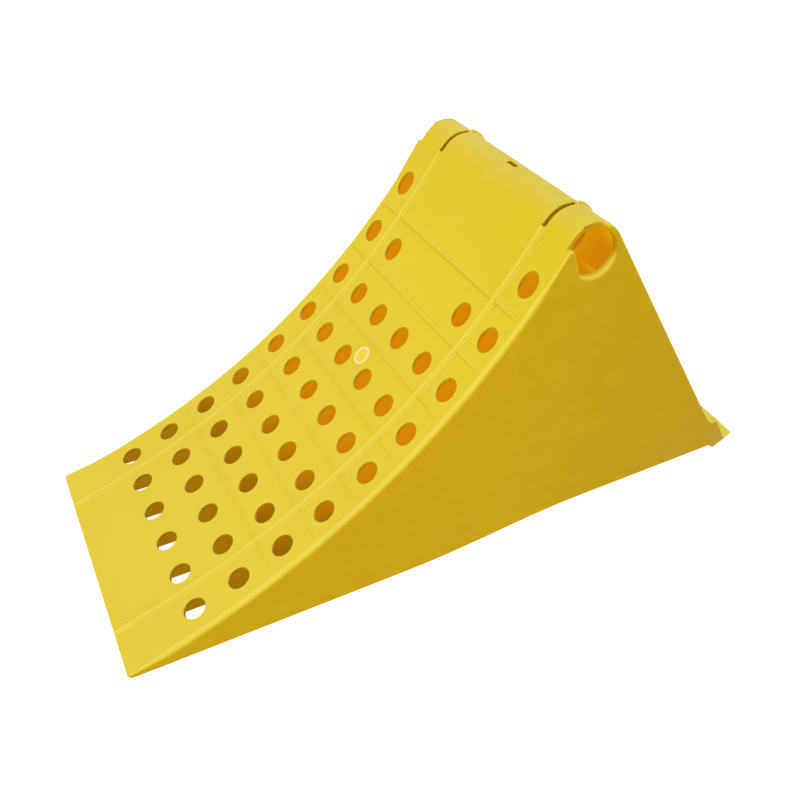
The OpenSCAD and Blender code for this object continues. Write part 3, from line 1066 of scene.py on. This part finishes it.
def plastic(name, top, slope, side, glow=0.0, sheen=0.3):
    """Satin moulded plastic whose colour follows how far a face looks up, as painted
    light and shade: lighter on faces that look up, darker on faces that look
    sideways. glow is painted light: emission that stands for the light that comes
    through the thin walls from outside."""
    n = Nodes(name)
    coords = n.add("ShaderNodeTexCoord").outputs["Object"]
    place = n.add("ShaderNodeSeparateXYZ")
    n.link(coords, place.inputs["Vector"])
    geo = n.add("ShaderNodeNewGeometry")
    sep = n.add("ShaderNodeSeparateXYZ")
    n.link(geo.outputs["Normal"], sep.inputs["Vector"])
    up = sep.outputs["Z"]
    # Painted light and shade: lighter on faces that look up, darker on faces that look sideways.
    base = n.mix(n.remap(up, 0.08, 0.5, 0.0, 1.0), side, slope)
    base = n.mix(n.remap(up, 0.55, 0.95, 0.0, 1.0), base, top)
    broad = n.remap(n.noise(coords, 9.0, 2.0), 0.35, 0.65, 0.0, 0.10)
    base = n.mix(broad, base, side)
    fine = n.remap(n.noise(coords, 60.0, 4.0, 0.6), 0.45, 0.75, 0.0, 0.10)
    base = n.mix(fine, base, slope)
    scuff = n.remap(n.noise(coords, 150.0, 3.0, 0.6, (0.25, 1.0, 0.25)), 0.68, 0.76, 0.0, 0.16)
    scuff = n.times(scuff, n.remap(up, 0.2, 0.5, 0.0, 1.0))
    base = n.mix(scuff, base, SCUFF_TINT)
    # Painted highlight: faces that look half sideways, on rounded edges, are painted lighter toward a
    # pale yellow.
    across = n.times(sep.outputs["Y"], sep.outputs["Y"])
    edge = n.times(n.remap(across, 0.04, 0.25, 0.0, EDGE_HIGHLIGHT), n.remap(across, 0.35, 0.85, 1.0, 0.0))
    base = n.mix(n.times(edge, n.remap(up, 0.0, 0.2, 0.0, 1.0)), base, EDGE_HIGHLIGHT_TINT)
    # Painted shade: colour turns darker brown towards the heel.
    heel = n.remap(place.outputs["X"], 0.02, 0.25, 0.0, HEEL_SHADE)
    base = n.mix(heel, base, HEEL_SHADE_TINT)
    # Painted shade: the inside plastic turns darker brown near the ground.
    if glow:
        base = n.mix(n.remap(place.outputs["Z"], 0.0, 0.06, 0.75, 0.0), base, LOW_SHADE_TINT)
    rough = n.remap(n.noise(coords, 45.0, 4.0), 0.3, 0.7, 0.40, 0.52)
    bump = n.bump(n.noise(coords, 22.0, 2.0), 0.25, 0.0012)
    bump = n.bump(n.noise(coords, 1400.0, 2.0), 0.12, 0.0002, bump)
    bsdf = n.add("ShaderNodeBsdfPrincipled")
    out = n.add("ShaderNodeOutputMaterial")
    n.link(base, bsdf.inputs["Base Color"])
    n.link(rough, bsdf.inputs["Roughness"])
    n.link(bump, bsdf.inputs["Normal"])
    bsdf.inputs["IOR"].default_value = 1.46
    n.link(n.remap(up, 0.0, 0.6, 0.15 * sheen, sheen), bsdf.inputs["Specular IOR Level"])
    # Painted light: emission standing for light through the thin walls, weaker near the ground as
    # painted shade.
    if glow:
        bsdf.inputs["Emission Color"].default_value = PAINTED_GLOW
        strength = n.remap(place.outputs["Z"], 0.0, 0.075, glow * 0.35, glow)
        n.link(strength, bsdf.inputs["Emission Strength"])
    n.link(bsdf.outputs["BSDF"], out.inputs["Surface"])
    return n.mat


shell_mat = plastic("yellow_plastic", TOP, SLOPE, SIDE, sheen=0.22)
# Inside plastic: amber base with painted glow, both standing for the orange light that comes through
# the walls and bounces inside.
inner_mat = plastic("inner_plastic", AMBER, AMBER, AMBER, glow=0.46, sheen=0.08)
# Darker brown rims: painted shade in slits and grooves.
rim_shade_mat = plastic("rim_shade_plastic", SHADE_BROWN, SHADE_BROWN, SHADE_BROWN, sheen=0.08)
# Thin edges, facets and ridge tops: painted light.
lit_thin_mat = plastic("thin_plastic_painted_light", LIT_THIN_TOP, LIT_THIN_SLOPE, LIT_THIN_SIDE, sheen=0.22)
# Hole walls: painted shade with a weak painted glow.
hole_shade_glow_mat = plastic("hole_plastic_shade_and_glow", SHADE_BROWN, SHADE_BROWN, SHADE_BROWN, glow=0.22, sheen=0.08)
mark_mat = plastic("gate_mark", MARK_TOP, MARK_SLOPE, MARK_SIDE)

outer = {
    deck_centre: ["deck_centre"],
    strips["left"]: ["deck_left"],
    strips["right"]: ["deck_right"],
    roll_centre: ["roll_centre"],
    rolls["left"]: ["roll_left"],
    rolls["right"]: ["roll_right"],
    rear_centre: ["rear_wall_centre"],
    rears["left"]: ["rear_wall_left"],
    rears["right"]: ["rear_wall_right"],
    walls["left"]: ["side_wall_left"],
    walls["right"]: ["side_wall_right"],
    webs["left"]: ["web_left"],
    webs["right"]: ["web_right"],
    toe: ["toe_lip"],
}
for obj, names in outer.items():
    for material in (shell_mat, inner_mat, rim_shade_mat, lit_thin_mat, hole_shade_glow_mat):
        obj.data.materials.append(material)
    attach(obj, "root")
    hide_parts(*names)
heel.data.materials.append(shell_mat)
heel.data.materials.append(lit_thin_mat)
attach(heel, "root")
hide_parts("heel_foot")
gate_ring.data.materials.append(mark_mat)
gate_ring.data.materials.append(lit_thin_mat)
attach(gate_ring, "root")

RIB_EDGE = 0.25
# The parts inside take the inside plastic with its painted glow.
shown = {name for names in outer.values() for name in names} | {"heel_foot"}
for name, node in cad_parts.items():
    if name in shown:
        continue
    if not node.data.materials:
        node.data.materials.append(inner_mat)
    for i in range(len(node.data.materials)):
        node.data.materials[i] = inner_mat
    bevel = node.modifiers.new("edges", "BEVEL")
    bevel.width = RIB_EDGE * MM
    bevel.segments = 2
    bevel.limit_method = "ANGLE"
    bevel.angle_limit = math.radians(25)

# ------------------------------------------------------------- floor and lights
STAGE_R = 12.0
FLOOR_DROP = 0.0004
FLOOR_GLOW, BACKDROP_GLOW, WORLD_LIGHT = 0.9, 1.05, 0.82
FLOOR_GREYS = ((0.42, 0.42, 0.42, 1), (0.45, 0.45, 0.45, 1))


def stage_piece(name, bm, material):
    mesh = bpy.data.meshes.new(name)
    bm.to_mesh(mesh)
    bm.free()
    mesh.materials.append(material)
    obj = bpy.data.objects.new(name, mesh)
    bpy.context.scene.collection.objects.link(obj)
    return obj


def floor_white():
    n = Nodes("floor_white")
    coords = n.add("ShaderNodeTexCoord").outputs["Object"]
    bsdf = n.add("ShaderNodeBsdfPrincipled")
    out = n.add("ShaderNodeOutputMaterial")
    n.link(n.mix(n.noise(coords, 3.0), *FLOOR_GREYS), bsdf.inputs["Base Color"])
    bsdf.inputs["Emission Color"].default_value = (1.0, 1.0, 1.0, 1.0)
    bsdf.inputs["Emission Strength"].default_value = FLOOR_GLOW
    bsdf.inputs["Roughness"].default_value = 0.9
    bsdf.inputs["Specular IOR Level"].default_value = 0.1
    n.link(bsdf.outputs["BSDF"], out.inputs["Surface"])
    return n.mat


def backdrop_white():
    n = Nodes("backdrop_white")
    white = n.add("ShaderNodeEmission")
    white.inputs["Strength"].default_value = BACKDROP_GLOW
    n.link(white.outputs["Emission"], n.add("ShaderNodeOutputMaterial").inputs["Surface"])
    return n.mat


bm = bmesh.new()
bmesh.ops.create_grid(bm, x_segments=2, y_segments=2, size=STAGE_R)
floor = stage_piece("floor", bm, floor_white())
floor.location = (0, 0, -FLOOR_DROP)

# The backdrop is seen by the camera only and gives no light
bm = bmesh.new()
bmesh.ops.create_uvsphere(bm, u_segments=32, v_segments=16, radius=STAGE_R)
backdrop = stage_piece("backdrop", bm, backdrop_white())
backdrop.visible_diffuse = False
backdrop.visible_glossy = False
backdrop.visible_shadow = False

world = bpy.data.worlds.new("studio")
bpy.context.scene.world = world
world.use_nodes = True
background = world.node_tree.nodes["Background"]
background.inputs["Color"].default_value = (1.0, 1.0, 1.0, 1)
background.inputs["Strength"].default_value = WORLD_LIGHT


def area_light(name, place, target, size, power):
    data = bpy.data.lights.new(name, "AREA")
    data.shape = "DISK"
    data.size = size
    data.energy = power
    lamp = bpy.data.objects.new(name, data)
    lamp.location = place
    aim = Vector(target) - Vector(place)
    lamp.rotation_euler = aim.to_track_quat("-Z", "Y").to_euler()
    bpy.context.scene.collection.objects.link(lamp)


area_light("key", (-1.6, -0.5, 1.9), (0, 0, 0.08), 1.4, 9)
area_light("fill", (0.6, -2.2, 1.2), (0, 0, 0.08), 1.8, 3)
area_light("back", (1.2, 1.8, 1.8), (0, 0, 0.1), 1.6, 4)

# ----------------------------------------------------------------------- camera
EYE = (TOE_X + 2.146, -475.186, 476.527)
FOCAL_MM = 40.838
azimuth, elevation, roll = math.radians(26.411), math.radians(38.006), math.radians(-0.58)
cam_data = bpy.data.cameras.new("camera")
cam_data.sensor_width = 36.0
cam_data.lens = FOCAL_MM
cam_data.clip_start = 0.01
camera = bpy.data.objects.new("camera", cam_data)
forward = Vector(
    (
        math.sin(azimuth) * math.cos(elevation),
        math.cos(azimuth) * math.cos(elevation),
        -math.sin(elevation),
    )
)
spin = forward.to_track_quat("-Z", "Y").to_matrix().to_4x4() @ Matrix.Rotation(roll, 4, "Z")
camera.matrix_world = Matrix.Translation(metres(*EYE)) @ spin
bpy.context.scene.collection.objects.link(camera)
bpy.context.scene.camera = camera
bpy.context.scene.view_settings.view_transform = "Standard"
